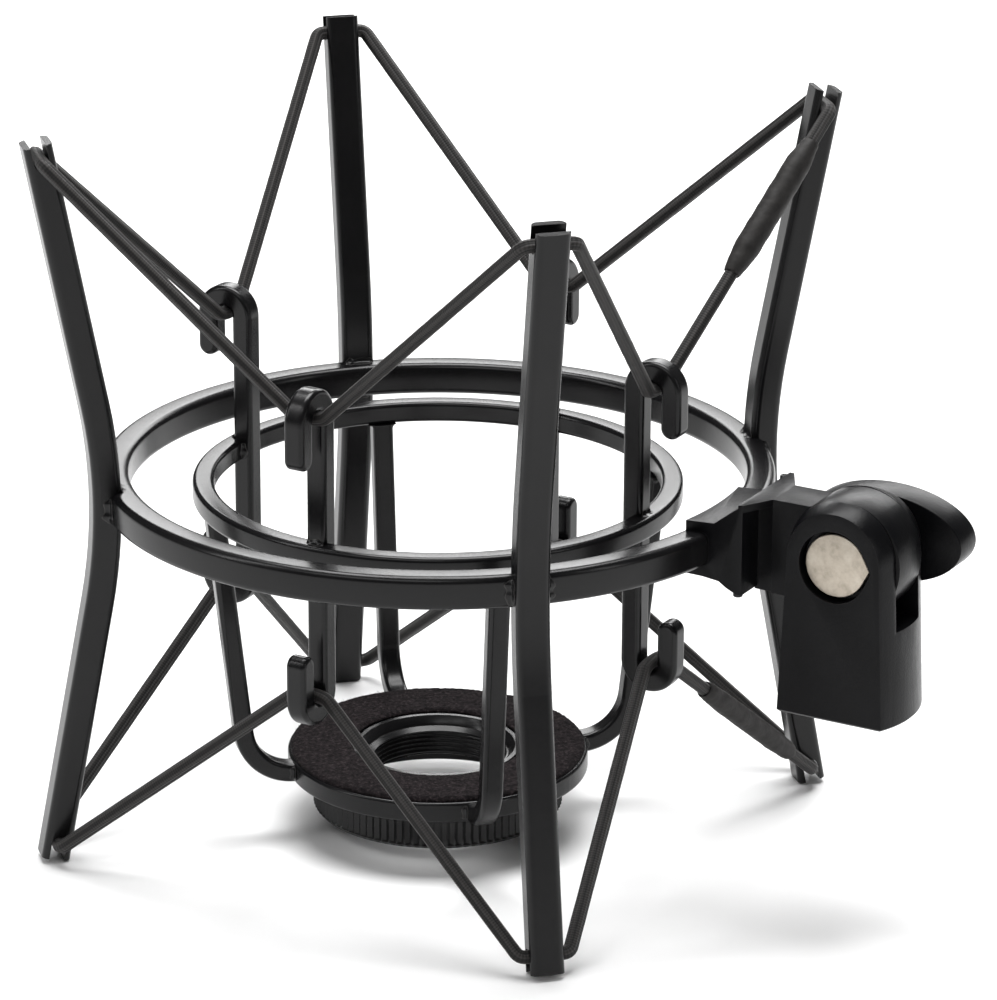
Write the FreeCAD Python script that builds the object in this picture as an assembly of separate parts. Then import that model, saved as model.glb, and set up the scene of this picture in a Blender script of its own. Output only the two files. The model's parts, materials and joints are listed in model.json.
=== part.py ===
"""Elastic shock mount that carries a large condenser microphone on a stand.

Units are millimetres. +Z is up, along the axis of the microphone cage.
The origin is the centre of the felt seat's top face, on that axis.
+X points along the swivel arm. The swivel bolt lies along Y: its head
faces -Y and the thumb knob is on the +Y side.
"""
import FreeCAD, Part
import math
import os

V = FreeCAD.Vector
Z_AXIS = V(0, 0, 1)
ORIGIN = V(0, 0, 0)

# ---------------------------------------------------------------- heights
POST_MID_Z = 60.0           # middle of the four outer posts
OUTER_RING_Z = 59.1         # mid-height of the outer ring
INNER_RING_Z = 57.4         # mid-height of the inner ring: the cage hangs a little low
FELT_TOP_Z = 0.0            # face that the microphone sits on

# ------------------------------------------------------------ outer frame
OUTER_RING_R = 70.0
OUTER_BAR_THICK = 6.0       # bar stock of ring and posts, radial
OUTER_BAR_WIDE = 7.0        # bar stock: ring height, post width
OUTER_BAR_ROUND = 1.5       # edge rounding of that stock
POST_OUTER_FACE_R = 73.4    # outer face of a post where it crosses the ring
POST_LEAN = 10.75           # outward lean of both post ends, degrees
POST_BEND_R = 115.0         # bend in the middle of a post, on its centreline
POST_HALF_H = 76.9          # middle to tip, on the centreline
POST_ANGLES = (45.0, 135.0, 225.0, 315.0)
SLOT_WIDE = 3.2             # cord slot in each post end
SLOT_CORD_DEPTH = 3.5       # cord centre below the post's end

# ------------------------------------------------------------------- cage
INNER_RING_R = 51.0
CAGE_BAR = 4.5              # square stock of inner ring and hook posts
CAGE_BAR_ROUND = 1.0
HOOK_POST_R = 46.7          # centre of a hook post
HOOK_PITCH = 8.4            # hook post centre to hook tip centre
HOOK_ARC_DZ = 29.15         # inner ring middle to the centre of a hook's arc
HOOK_TIP_LEN = 9.4          # hook arc centre to the end of its tip
HOOK_ANGLES = (0.0, 90.0, 180.0, 270.0)
LEG_WIDE = 4.5
LEG_THICK = 4.0
LEG_TOP_R = 47.6            # leg centreline under the inner ring
LEG_FOOT_R = 41.1           # leg centreline extended down to the foot's level
LEG_BEND_R = 11.0
LEG_FOOT_Z = -3.5

# ---------------------------------------------- base plate and thread ring
PLATE_R = 31.75
PLATE_HOLE_R = 17.5
PLATE_TOP_Z = FELT_TOP_Z - 1.2
PLATE_BOTTOM_Z = -5.6
FELT_R = 31.1
FELT_HOLE_R = 18.0
MIC_THREAD_R = 13.5         # thread's inner radius, modelled as a smooth bore
MIC_THREAD_TOP_Z = -3.4
MIC_THREAD_BOTTOM_Z = -8.8
NECK_R = 17.4
NECK_TOP_Z = FELT_TOP_Z - 0.9
KNURL_R = 26.4
KNURL_TOP_Z = PLATE_BOTTOM_Z - 0.2
KNURL_BOTTOM_Z = -14.0
KNURL_RECESS_R = 23.0
CLIP_THICK = 0.7
CLIP_SEAT_Z = PLATE_TOP_Z - 1.3
CLIP_GROOVE_R = 16.3

# ---------------------------------------------------------------- swivel
GRIP_X0 = 62.0              # grip's profile starts inside its lips and is trimmed to GRIP_INNER_R
GRIP_X1 = 76.6
GRIP_INNER_R = 65.0
GRIP_HALF_Y = 11.5
ARM_BOTTOM_Z = 50.0
ARM_TOP_Z = 69.9
ARM_STEP_X = 80.1           # the arm is narrower between the grip and here
ARM_WAIST_HALF = 4.2
ARM_WEB_THICK = 1.5         # plate that joins the grip's top to the arm's
PIN_R = 1.0
PIN_X = 75.2
PIN_Y = 10.0
PIN_SPANS = ((-PIN_Y, 50.0, 68.0), (PIN_Y, 52.0, 69.7))      # side, bottom and top of each pin
PIVOT_X = 95.8
PIVOT_Z = 59.8
HUB_R = 12.5
HUB_HALF = 5.0              # half thickness of the hub
FORK_GAP_HALF = 5.2         # half width of the slot in the swivel body
FORK_HALF_Y = 9.6           # cheek's outer face
FORK_BARREL_R = 12.2        # half width across X, and arch radius, in the middle of the fork
FORK_BULGE_R = 23.0         # the sides and the arch bulge by this radius from face to face
FORK_ARCH_RISE = 1.0        # centre of the arch above the pivot
FORK_DROP = 32.9            # pivot to the bottom of the swivel body
FORK_FLARE = 1.5            # the foot's half width beyond the cheeks'
FORK_FOOT_EDGE = 0.5        # bevel round the bottom
FORK_SLOT_DROP = 12.9       # pivot to the bottom of the fork slot
BOLT_R = 3.0
BOLT_HEAD_R = 6.6
BOLT_CORNER_R = 7.5         # the head's one corner, which keeps it from turning
BOLT_POCKET_ROOM = 0.9      # pocket beyond the head all round
BOLT_HEAD_DEPTH = 1.2       # face of the head below the cheek
BOLT_HEAD_THICK = 2.0
BOLT_END_Y = 17.2           # tip of the bolt, inside the knob
BOLT_CORNER_ROOM = 0.7      # pocket beyond the head's corner
THROUGH = 20.0              # half length of a cut that goes right through the swivel along Y
STAND_THREAD_R = 7.43       # inner radius of a 5/8-27 thread
STAND_THREAD_LEN = 14.0
INSERT_R = 8.5
INSERT_RECESS = 0.5         # insert's end above the bottom of the swivel body
KNOB_HALF_X = 18.0
KNOB_HALF_Z = 9.3
KNOB_Y0 = 11.8              # the oval; a round boss fills the way to the washer
KNOB_BOSS_R = 8.5
KNOB_BOSS_Y0 = 10.6
KNOB_Y1 = 19.7
KNOB_BACK_ROUND = 0.9       # rounding round the knob's far face
WASHER_R = 8.0
NUT_ACROSS = 10.0           # hexagon nut moulded into the knob, across its flats
NUT_THICK = 5.0
NUT_DEPTH = 0.6             # nut below the oval's near face

# ----------------------------------------------------------------- cords
CORD_R = 1.5
CORD_BEND_R = 2.7
SLEEVE_R = 2.15
SLEEVE_BORE_R = 1.55
UPPER_SLEEVE = (0.12, 0.60)     # where it lies on its span, from post to hook
LOWER_SLEEVE = (0.16, 0.72)


# ================================================================ helpers
def polar(radius, angle, z):
    """Point at a radius and an azimuth in degrees."""
    a = math.radians(angle)
    return V(radius * math.cos(a), radius * math.sin(a), z)


def turned(shape, angle):
    """Copy of a shape built at azimuth 0, turned about Z."""
    copy = shape.copy()
    copy.rotate(ORIGIN, Z_AXIS, angle)
    return copy


def edges_to_wire(items):
    """Closed wire from ('line', a, b) and ('arc', a, mid, b) items."""
    edges = []
    for item in items:
        if item[0] == "line":
            edges.append(Part.LineSegment(item[1], item[2]).toShape())
        else:
            edges.append(Part.Arc(item[1], item[2], item[3]).toShape())
    return Part.Wire(edges)


def ring_solid(r_in, r_out, z0, z1):
    """Plain ring about Z."""
    outer = Part.makeCylinder(r_out, z1 - z0, V(0, 0, z0))
    return outer.cut(Part.makeCylinder(r_in, z1 - z0, V(0, 0, z0)))


def revolve_profile(points):
    """Solid of revolution about Z from (radius, z) points."""
    loop = [V(r, 0, z) for r, z in points]
    loop.append(loop[0])
    face = Part.Face(Part.makePolygon(loop))
    return face.revolve(ORIGIN, Z_AXIS, 360)


def rounded_ring(r_out, thick, high, z_mid, rounding):
    """Ring of rectangular bar with rounded edges."""
    solid = ring_solid(r_out - thick, r_out, z_mid - high / 2, z_mid + high / 2)
    circles = [e for e in solid.Edges if len(e.Vertexes) == 1 and e.Curve.TypeId == "Part::GeomCircle"]
    return solid.makeFillet(rounding, circles)


def offset_corner(points, side, index):
    """Corner of a polyline's parallel line at the given signed distance."""
    def unit(a, b):
        d = b.sub(a)
        return d.multiply(1.0 / d.Length)

    count = len(points)
    before = unit(points[max(index - 1, 0)], points[max(index, 1)])
    after = unit(points[min(index, count - 2)], points[min(index + 1, count - 1)])
    n0 = V(before.z, 0, -before.x)
    n1 = V(after.z, 0, -after.x)
    mean = n0.add(n1)
    mean.multiply(1.0 / mean.Length)
    reach = side / mean.dot(n0)
    return points[index].add(mean.multiply(reach))


def fillet_items(a, corner, b, radius):
    """Line, arc, and the arc's end, for a rounded corner from a towards b."""
    u = a.sub(corner)
    u.normalize()
    w = b.sub(corner)
    w.normalize()
    half = math.acos(max(-1.0, min(1.0, u.dot(w)))) / 2
    run = radius / math.tan(half)
    start = corner.add(V(u).multiply(run))
    end = corner.add(V(w).multiply(run))
    bis = u.add(w)
    bis.normalize()
    mid = corner.add(bis.multiply(radius / math.sin(half) - radius))
    return start, mid, end


def flat_bar(points, bend_r, thick, wide, rounding):
    """Bar with one bend, drawn in the XZ plane: points are start, corner, end."""
    turn = points[1].sub(points[0]).cross(points[2].sub(points[1])).y
    sides = []
    for side in (thick / 2, -thick / 2):
        a, corner, b = [offset_corner(points, side, i) for i in range(3)]
        radius = bend_r + side if turn < 0 else bend_r - side
        sides.append((a, fillet_items(a, corner, b, radius), b))
    (a0, f0, b0), (a1, f1, b1) = sides
    items = [("line", a0, f0[0]), ("arc",) + f0, ("line", f0[2], b0), ("line", b0, b1),
             ("line", b1, f1[2]), ("arc", f1[2], f1[1], f1[0]), ("line", f1[0], a1), ("line", a1, a0)]
    face = Part.Face(edges_to_wire(items))
    solid = face.extrude(V(0, wide, 0))
    solid.translate(V(0, -wide / 2, 0))
    along = [e for e in solid.Edges if abs(e.BoundBox.YLength) < 1e-4 and e.Length > thick * 1.2]
    return solid.makeFillet(rounding, along)


# ============================================================ outer frame
def post_centreline():
    """Tip, virtual corner and tip of an outer post at azimuth 0."""
    lean = math.radians(POST_LEAN)
    apex_r = POST_OUTER_FACE_R - OUTER_BAR_THICK / 2
    corner_r = apex_r - POST_BEND_R * (1 / math.cos(lean) - 1)
    tip_r = corner_r + POST_HALF_H * math.tan(lean)
    return [V(tip_r, 0, POST_MID_Z - POST_HALF_H), V(corner_r, 0, POST_MID_Z),
            V(tip_r, 0, POST_MID_Z + POST_HALF_H)]


def slot_cord_point(end):
    """Cord centre in a post's end slot at azimuth 0; end is +1 or -1."""
    lean = math.radians(POST_LEAN)
    tip = post_centreline()[2 if end > 0 else 0]
    return V(tip.x - SLOT_CORD_DEPTH * math.sin(lean), 0, tip.z - end * SLOT_CORD_DEPTH * math.cos(lean))


def make_outer_post():
    """Flared post with a cord slot cut across each end."""
    bar = flat_bar(post_centreline(), POST_BEND_R, OUTER_BAR_THICK, OUTER_BAR_WIDE, OUTER_BAR_ROUND)
    for end in (1, -1):
        seat = slot_cord_point(end)
        length = 12.0
        slot = Part.makeBox(SLOT_WIDE, length, 8.0, V(-SLOT_WIDE / 2, -length / 2, 0))
        slot = slot.fuse(Part.makeCylinder(SLOT_WIDE / 2, length, V(0, -length / 2, 0), V(0, 1, 0)))
        if end < 0:
            slot.rotate(ORIGIN, V(1, 0, 0), 180)
        slot.rotate(ORIGIN, V(0, 1, 0), POST_LEAN * end)
        slot.translate(seat)
        bar = bar.cut(slot)
    return bar


# =================================================================== cage
def make_hook_post():
    """Upright with a hook bent outward at each end, at azimuth 0."""
    half = CAGE_BAR / 2
    r_post = HOOK_POST_R
    r_tip = HOOK_POST_R + HOOK_PITCH
    r_mid = (r_post + r_tip) / 2
    inner = HOOK_PITCH / 2 - half
    outer = HOOK_PITCH / 2 + half
    straight = HOOK_TIP_LEN - half
    items = []
    for end in (1, -1):
        z_arc = INNER_RING_Z + end * HOOK_ARC_DZ
        z_tip = z_arc - end * straight
        part_items = [
            ("arc", V(r_post - half, 0, z_arc), V(r_mid, 0, z_arc + end * outer), V(r_tip + half, 0, z_arc)),
            ("line", V(r_tip + half, 0, z_arc), V(r_tip + half, 0, z_tip)),
            ("arc", V(r_tip + half, 0, z_tip), V(r_tip, 0, z_tip - end * half), V(r_tip - half, 0, z_tip)),
            ("line", V(r_tip - half, 0, z_tip), V(r_tip - half, 0, z_arc)),
            ("arc", V(r_tip - half, 0, z_arc), V(r_mid, 0, z_arc + end * inner), V(r_post + half, 0, z_arc)),
        ]
        items.append(part_items)
    z_up = INNER_RING_Z + HOOK_ARC_DZ
    z_low = INNER_RING_Z - HOOK_ARC_DZ
    lower = [("arc", i[3], i[2], i[1]) if i[0] == "arc" else ("line", i[2], i[1]) for i in reversed(items[1])]
    loop = [("line", V(r_post - half, 0, z_low), V(r_post - half, 0, z_up))] + items[0]
    loop += [("line", V(r_post + half, 0, z_up), V(r_post + half, 0, z_low))] + lower
    solid = Part.Face(edges_to_wire(loop)).extrude(V(0, CAGE_BAR, 0))
    solid.translate(V(0, -half, 0))
    rims = [e for e in solid.Edges if abs(e.BoundBox.YLength) < 1e-4]
    return solid.makeFillet(CAGE_BAR_ROUND, rims)


def make_leg(plate):
    """Leg from the underside of the inner ring, bent in to the plate's rim."""
    ring_bottom = INNER_RING_Z - CAGE_BAR / 2
    slope = (LEG_TOP_R - LEG_FOOT_R) / (ring_bottom - LEG_FOOT_Z)
    top = V(LEG_TOP_R + 4 * slope, 0, ring_bottom + 4)
    corner = V(LEG_FOOT_R, 0, LEG_FOOT_Z)
    foot = V(PLATE_R - 4, 0, LEG_FOOT_Z)
    bar = flat_bar([top, corner, foot], LEG_BEND_R, LEG_THICK, LEG_WIDE, CAGE_BAR_ROUND)
    bar = bar.cut(Part.makeBox(20, 20, 20, V(40, -10, ring_bottom)))
    return bar.cut(plate)


# ============================================== base plate and thread ring
def make_base_plate():
    """Round plate with a counterbore for the retaining clip."""
    plate = ring_solid(PLATE_HOLE_R, PLATE_R, PLATE_BOTTOM_Z, PLATE_TOP_Z)
    rims = [e for e in plate.Edges if len(e.Vertexes) == 1 and abs(e.Length - 2 * math.pi * PLATE_R) < 0.1]
    plate = plate.makeFillet(0.7, rims)
    clip_space = Part.makeCylinder(20.2, 5.0, V(0, 0, CLIP_SEAT_Z))
    return plate.cut(clip_space)


def make_thread_ring():
    """Threaded ring with a knurled finger skirt, turning in the base plate."""
    points = [
        (MIC_THREAD_R, MIC_THREAD_BOTTOM_Z), (MIC_THREAD_R, MIC_THREAD_TOP_Z),
        (NECK_R - 1.0, NECK_TOP_Z), (NECK_R, NECK_TOP_Z),
        (NECK_R, CLIP_SEAT_Z + 0.85), (CLIP_GROOVE_R, CLIP_SEAT_Z + 0.85), (CLIP_GROOVE_R, CLIP_SEAT_Z),
        (NECK_R, CLIP_SEAT_Z), (NECK_R, KNURL_TOP_Z), (KNURL_R - 0.6, KNURL_TOP_Z),
        (KNURL_R, KNURL_TOP_Z - 0.6), (KNURL_R, KNURL_BOTTOM_Z + 0.6), (KNURL_R - 0.6, KNURL_BOTTOM_Z),
        (KNURL_RECESS_R, KNURL_BOTTOM_Z), (KNURL_RECESS_R, MIC_THREAD_BOTTOM_Z),
    ]
    return revolve_profile(points)


def make_clip():
    """Open retaining clip that keeps the thread ring in the plate."""
    z0 = CLIP_SEAT_Z + 0.07
    clip = ring_solid(CLIP_GROOVE_R + 0.05, 19.6, z0, z0 + CLIP_THICK)
    gap = Part.makeBox(12, 12, 4, V(0, 0, z0 - 1))
    gap.rotate(ORIGIN, Z_AXIS, -45)
    gap.translate(V(9, 0, 0))
    return clip.cut(gap)


# ================================================================= swivel
def y_cylinder(radius, y0, y1, x=PIVOT_X, z=PIVOT_Z):
    """Cylinder along Y, on the pivot axis unless told otherwise."""
    return Part.makeCylinder(radius, y1 - y0, V(x, y0, z), V(0, 1, 0))


def make_bracket(ring, pins):
    """Moulded grip on the outer ring, with the arm and the swivel hub."""
    side = [(GRIP_X0, 53.5), (68.0, 53.4), (71.5, 53.0), (73.2, 51.9), (75.4, 50.9), (GRIP_X1, 50.8),
            (GRIP_X1, ARM_TOP_Z), (70.3, 65.1), (GRIP_X0, 64.6)]
    loop = [V(x, 0, z) for x, z in side]
    loop.append(loop[0])
    grip = Part.Face(Part.makePolygon(loop)).extrude(V(0, 2 * GRIP_HALF_Y, 0))
    grip.translate(V(0, -GRIP_HALF_Y, 0))
    grip = grip.cut(Part.makeCylinder(GRIP_INNER_R, 40, V(0, 0, OUTER_RING_Z - 20)))
    high = ARM_TOP_Z - ARM_BOTTOM_Z
    waist = Part.makeBox(ARM_STEP_X - 76, 2 * ARM_WAIST_HALF, high, V(76, -ARM_WAIST_HALF, ARM_BOTTOM_Z))
    arm = Part.makeBox(PIVOT_X - ARM_STEP_X, 2 * HUB_HALF, high, V(ARM_STEP_X, -HUB_HALF, ARM_BOTTOM_Z))
    root_x = GRIP_X1 - 1
    plan = [(root_x, -GRIP_HALF_Y), (GRIP_X1, -GRIP_HALF_Y), (ARM_STEP_X, -HUB_HALF), (ARM_STEP_X, HUB_HALF),
            (GRIP_X1, GRIP_HALF_Y), (root_x, GRIP_HALF_Y), (root_x, -GRIP_HALF_Y)]
    web_top = Part.makePolygon([V(x, y, ARM_TOP_Z - ARM_WEB_THICK) for x, y in plan])
    web = Part.Face(web_top).extrude(V(0, 0, ARM_WEB_THICK))
    arm = arm.fuse([waist, web])
    hub = y_cylinder(HUB_R, -HUB_HALF, HUB_HALF)
    solid = grip.fuse([arm, hub]).removeSplitter()
    solid = solid.cut(ring)
    solid = solid.cut(y_cylinder(BOLT_R + 0.1, -THROUGH, THROUGH))
    for pin in pins:
        solid = solid.cut(pin)
    return solid


def bulged_half(y):
    """Half width of the fork at a distance y from its middle plane."""
    return FORK_BARREL_R - FORK_BULGE_R + math.sqrt(FORK_BULGE_R ** 2 - y ** 2)


def fork_outline(grow, z, inset=0.0):
    """Plan section of the swivel body: flat front and back, bulged sides."""
    half_y = FORK_HALF_Y - inset
    edge_x = bulged_half(FORK_HALF_Y) + grow
    mid_x = FORK_BARREL_R + grow
    corner = [V(PIVOT_X + sx * edge_x, sy * half_y, z) for sx, sy in ((-1, -1), (1, -1), (1, 1), (-1, 1))]
    return edges_to_wire([
        ("line", corner[0], corner[1]),
        ("arc", corner[1], V(PIVOT_X + mid_x, 0, z), corner[2]),
        ("line", corner[2], corner[3]),
        ("arc", corner[3], V(PIVOT_X - mid_x, 0, z), corner[0]),
    ])


def make_swivel_body():
    """Fork that straddles the hub, with the stand thread in its foot."""
    bottom = PIVOT_Z - FORK_DROP
    arch_z = PIVOT_Z + FORK_ARCH_RISE
    foot = fork_outline(FORK_FLARE - FORK_FOOT_EDGE, bottom, FORK_FOOT_EDGE)
    bevel_top = fork_outline(FORK_FLARE, bottom + FORK_FOOT_EDGE)
    lower = Part.makeLoft([foot, bevel_top, fork_outline(0, arch_z)], True, True)
    edge = bulged_half(FORK_HALF_Y)
    half = edges_to_wire([
        ("line", V(PIVOT_X, -FORK_HALF_Y, arch_z), V(PIVOT_X, -FORK_HALF_Y, arch_z + edge)),
        ("arc", V(PIVOT_X, -FORK_HALF_Y, arch_z + edge), V(PIVOT_X, 0, arch_z + FORK_BARREL_R),
         V(PIVOT_X, FORK_HALF_Y, arch_z + edge)),
        ("line", V(PIVOT_X, FORK_HALF_Y, arch_z + edge), V(PIVOT_X, FORK_HALF_Y, arch_z)),
        ("line", V(PIVOT_X, FORK_HALF_Y, arch_z), V(PIVOT_X, -FORK_HALF_Y, arch_z)),
    ])
    section = Part.Face(half)
    section.rotate(V(PIVOT_X, 0, arch_z), V(0, 1, 0), -90)
    arch = section.revolve(V(PIVOT_X, 0, arch_z), V(0, 1, 0), 180)
    body = lower.fuse(arch).removeSplitter()
    corner = V(PIVOT_X - 2 * THROUGH, -FORK_GAP_HALF, PIVOT_Z - FORK_SLOT_DROP)
    slot = Part.makeBox(4 * THROUGH, 2 * FORK_GAP_HALF, 4 * THROUGH, corner)
    body = body.cut(slot)
    body = body.cut(y_cylinder(BOLT_R + 0.05, -THROUGH, THROUGH))
    pocket_end = BOLT_HEAD_DEPTH + BOLT_HEAD_THICK - FORK_HALF_Y
    pocket_r = BOLT_HEAD_R + BOLT_POCKET_ROOM
    body = body.cut(cornered_disc(pocket_r, BOLT_CORNER_R + BOLT_CORNER_ROOM, -THROUGH, pocket_end))
    socket = Part.makeCylinder(INSERT_R, STAND_THREAD_LEN + INSERT_RECESS + 0.1, V(PIVOT_X, 0, bottom))
    return body.cut(socket)


def make_stand_insert():
    """Metal sleeve that carries the stand thread."""
    bottom = PIVOT_Z - FORK_DROP
    z0 = bottom + INSERT_RECESS
    outer = Part.makeCylinder(INSERT_R, STAND_THREAD_LEN, V(PIVOT_X, 0, z0))
    return outer.cut(Part.makeCylinder(STAND_THREAD_R, STAND_THREAD_LEN, V(PIVOT_X, 0, z0)))


def cornered_disc(radius, corner_r, y0, y1):
    """Disc on the pivot axis with one corner that points along +X."""
    disc = y_cylinder(radius, y0, y1)
    half = math.acos(radius / corner_r)
    touch_x = radius * math.cos(half)
    touch_z = radius * math.sin(half)
    outline = [V(0, 0, 0), V(touch_x, 0, touch_z), V(corner_r, 0, 0), V(touch_x, 0, -touch_z), V(0, 0, 0)]
    loop = [V(PIVOT_X + q.x, y0, PIVOT_Z + q.z) for q in outline]
    beak = Part.Face(Part.makePolygon(loop)).extrude(V(0, y1 - y0, 0))
    return disc.fuse(beak).removeSplitter()


def make_pivot_bolt():
    """Bolt with a low disc head that has one corner."""
    face_y = BOLT_HEAD_DEPTH - FORK_HALF_Y
    head = cornered_disc(BOLT_HEAD_R, BOLT_CORNER_R, face_y, face_y + BOLT_HEAD_THICK)
    return head.fuse(y_cylinder(BOLT_R, face_y + BOLT_HEAD_THICK, BOLT_END_Y)).removeSplitter()


def make_knob(insert_space):
    """Oval thumb knob."""
    ellipse = Part.Ellipse(V(PIVOT_X, KNOB_Y0, PIVOT_Z), KNOB_HALF_X, KNOB_HALF_Z).toShape()
    ellipse.rotate(V(PIVOT_X, KNOB_Y0, PIVOT_Z), V(1, 0, 0), 90)
    body = Part.Face(Part.Wire([ellipse])).extrude(V(0, KNOB_Y1 - KNOB_Y0, 0))
    back = [e for e in body.Edges if e.BoundBox.YMin > KNOB_Y1 - 0.01]
    body = body.makeFillet(KNOB_BACK_ROUND, back)
    boss = y_cylinder(KNOB_BOSS_R, KNOB_BOSS_Y0, KNOB_Y0 + 1)
    return body.fuse(boss).removeSplitter().cut(insert_space)


def hexagon(across, y0, y1):
    """Hexagonal prism along Y on the pivot axis."""
    radius = across / math.sqrt(3)
    pts = [V(PIVOT_X + radius * math.cos(math.radians(60 * i)), y0,
             PIVOT_Z + radius * math.sin(math.radians(60 * i))) for i in range(7)]
    return Part.Face(Part.makePolygon(pts)).extrude(V(0, y1 - y0, 0))


# ================================================================== cords
def loop_corners(end):
    """Corners of a cord loop: through each post slot and each hook in turn."""
    seat = slot_cord_point(end)
    hook_r = HOOK_POST_R + HOOK_PITCH / 2
    hook_z = INNER_RING_Z + end * (HOOK_ARC_DZ + HOOK_PITCH / 2 - CAGE_BAR / 2 - CORD_R - 0.1)
    corners = []
    for quarter in range(4):
        for radius, angle, z, reach in ((hook_r, HOOK_ANGLES[quarter], hook_z, CAGE_BAR / 2 + 1.0),
                                        (seat.x, POST_ANGLES[quarter], seat.z, OUTER_BAR_WIDE / 2 + 1.7)):
            across = polar(1, angle + 90, 0)
            middle = polar(radius, angle, z)
            corners.append(middle.sub(V(across).multiply(reach)))
            corners.append(middle.add(V(across).multiply(reach)))
    return corners


def span_ends(end):
    """Post end and hook end of the span that carries the splice sleeve."""
    corners = loop_corners(end)
    return corners[2], corners[1]


def make_cord(end, sleeve):
    """Whole elastic cord: both ends meet inside the splice sleeve."""
    corners = loop_corners(end)
    post_side, hook_side = span_ends(end)
    along = hook_side.sub(post_side)
    joint = (sleeve[0] + sleeve[1]) / 2
    start = post_side.add(V(along).multiply(joint))
    stop = post_side.add(V(along).multiply(joint + 0.004))
    route = [start] + corners[2:] + corners[:2] + [stop]
    items = []
    here = route[0]
    for i in range(1, len(route) - 1):
        a, mid, b = fillet_items(route[i - 1], route[i], route[i + 1], CORD_BEND_R)
        items.append(("line", here, a))
        items.append(("arc", a, mid, b))
        here = b
    items.append(("line", here, route[-1]))
    wire = edges_to_wire(items)
    direction = route[1].sub(route[0])
    section = Part.Wire([Part.makeCircle(CORD_R, route[0], direction)])
    pipe = wire.makePipeShell([section], True, True)
    solid = Part.Solid(pipe) if pipe.ShapeType != "Solid" else pipe
    print("cord length %.1f mm, volume ratio %.4f, valid %s"
          % (wire.Length, abs(solid.Volume) / (math.pi * CORD_R ** 2 * wire.Length), solid.isValid()))
    return solid


def make_sleeve(end, sleeve):
    """Shrink sleeve over the joint of a cord."""
    post_side, hook_side = span_ends(end)
    along = hook_side.sub(post_side)
    length = along.Length * (sleeve[1] - sleeve[0])
    start = post_side.add(V(along).multiply(sleeve[0]))
    outer = Part.makeCylinder(SLEEVE_R, length, start, along)
    return outer.cut(Part.makeCylinder(SLEEVE_BORE_R, length, start, along))


# =============================================================== assembly
def build():
    """All nodes by name."""
    nodes = {}
    post = make_outer_post()
    posts = [turned(post, a) for a in POST_ANGLES]
    full_ring = rounded_ring(OUTER_RING_R, OUTER_BAR_THICK, OUTER_BAR_WIDE, OUTER_RING_Z, OUTER_BAR_ROUND)
    nodes["outer_ring"] = full_ring.cut(posts)
    for number, solid in enumerate(posts, 1):
        nodes["outer_post_%d" % number] = solid

    hook = make_hook_post()
    hooks = [turned(hook, a) for a in HOOK_ANGLES]
    inner = rounded_ring(INNER_RING_R, CAGE_BAR, CAGE_BAR, INNER_RING_Z, CAGE_BAR_ROUND)
    nodes["inner_ring"] = inner.cut(hooks)
    for number, solid in enumerate(hooks, 1):
        nodes["hook_post_%d" % number] = solid
    plate = make_base_plate()
    leg = make_leg(plate)
    for number, angle in enumerate(POST_ANGLES, 1):
        nodes["cage_leg_%d" % number] = turned(leg, angle)
    nodes["base_plate"] = plate
    nodes["felt_pad"] = ring_solid(FELT_HOLE_R, FELT_R, PLATE_TOP_Z, FELT_TOP_Z)
    nodes["thread_ring"] = make_thread_ring()
    nodes["retaining_clip"] = make_clip()

    pins = [Part.makeCylinder(PIN_R, top - bottom, V(PIN_X, y, bottom)) for y, bottom, top in PIN_SPANS]
    nodes["swivel_bracket"] = make_bracket(full_ring, pins)
    nodes["bracket_pins"] = Part.makeCompound(pins)
    nodes["swivel_body"] = make_swivel_body()
    nodes["stand_thread_insert"] = make_stand_insert()
    nodes["pivot_bolt"] = make_pivot_bolt()
    washer = y_cylinder(WASHER_R, FORK_HALF_Y + 0.05, KNOB_BOSS_Y0 - 0.05)
    nodes["knob_washer"] = washer.cut(y_cylinder(BOLT_R + 0.15, 0, THROUGH))
    nut = hexagon(NUT_ACROSS, KNOB_Y0 + NUT_DEPTH, KNOB_Y0 + NUT_DEPTH + NUT_THICK)
    bolt_room = y_cylinder(BOLT_R + 0.05, KNOB_BOSS_Y0 - 1, 17.8)
    nodes["thumb_knob"] = make_knob(nut.fuse(bolt_room))
    nodes["knob_nut"] = nut.cut(y_cylinder(BOLT_R + 0.02, 0, THROUGH))

    nodes["upper_elastic"] = make_cord(1, UPPER_SLEEVE)
    nodes["upper_splice_sleeve"] = make_sleeve(1, UPPER_SLEEVE)
    nodes["lower_elastic"] = make_cord(-1, LOWER_SLEEVE)
    nodes["lower_splice_sleeve"] = make_sleeve(-1, LOWER_SLEEVE)
    return nodes


os.makedirs("parts", exist_ok=True)
for node_name, node_shape in build().items():
    print("%-22s solids %d  valid %s  volume %10.1f" % (
        node_name, len(node_shape.Solids), node_shape.isValid(), node_shape.Volume))
    node_shape.exportStep("parts/%s.step" % node_name)
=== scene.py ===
"""Looks of the elastic microphone shock mount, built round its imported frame.

Metres. +Z is up on the cage axis, the origin is the felt seat's centre and +X
is the way to the stand swivel. The camera stands where the photographer's did.
"""
import json
import math
import random

import bmesh
import bpy
from mathutils import Matrix, Vector, noise


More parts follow.
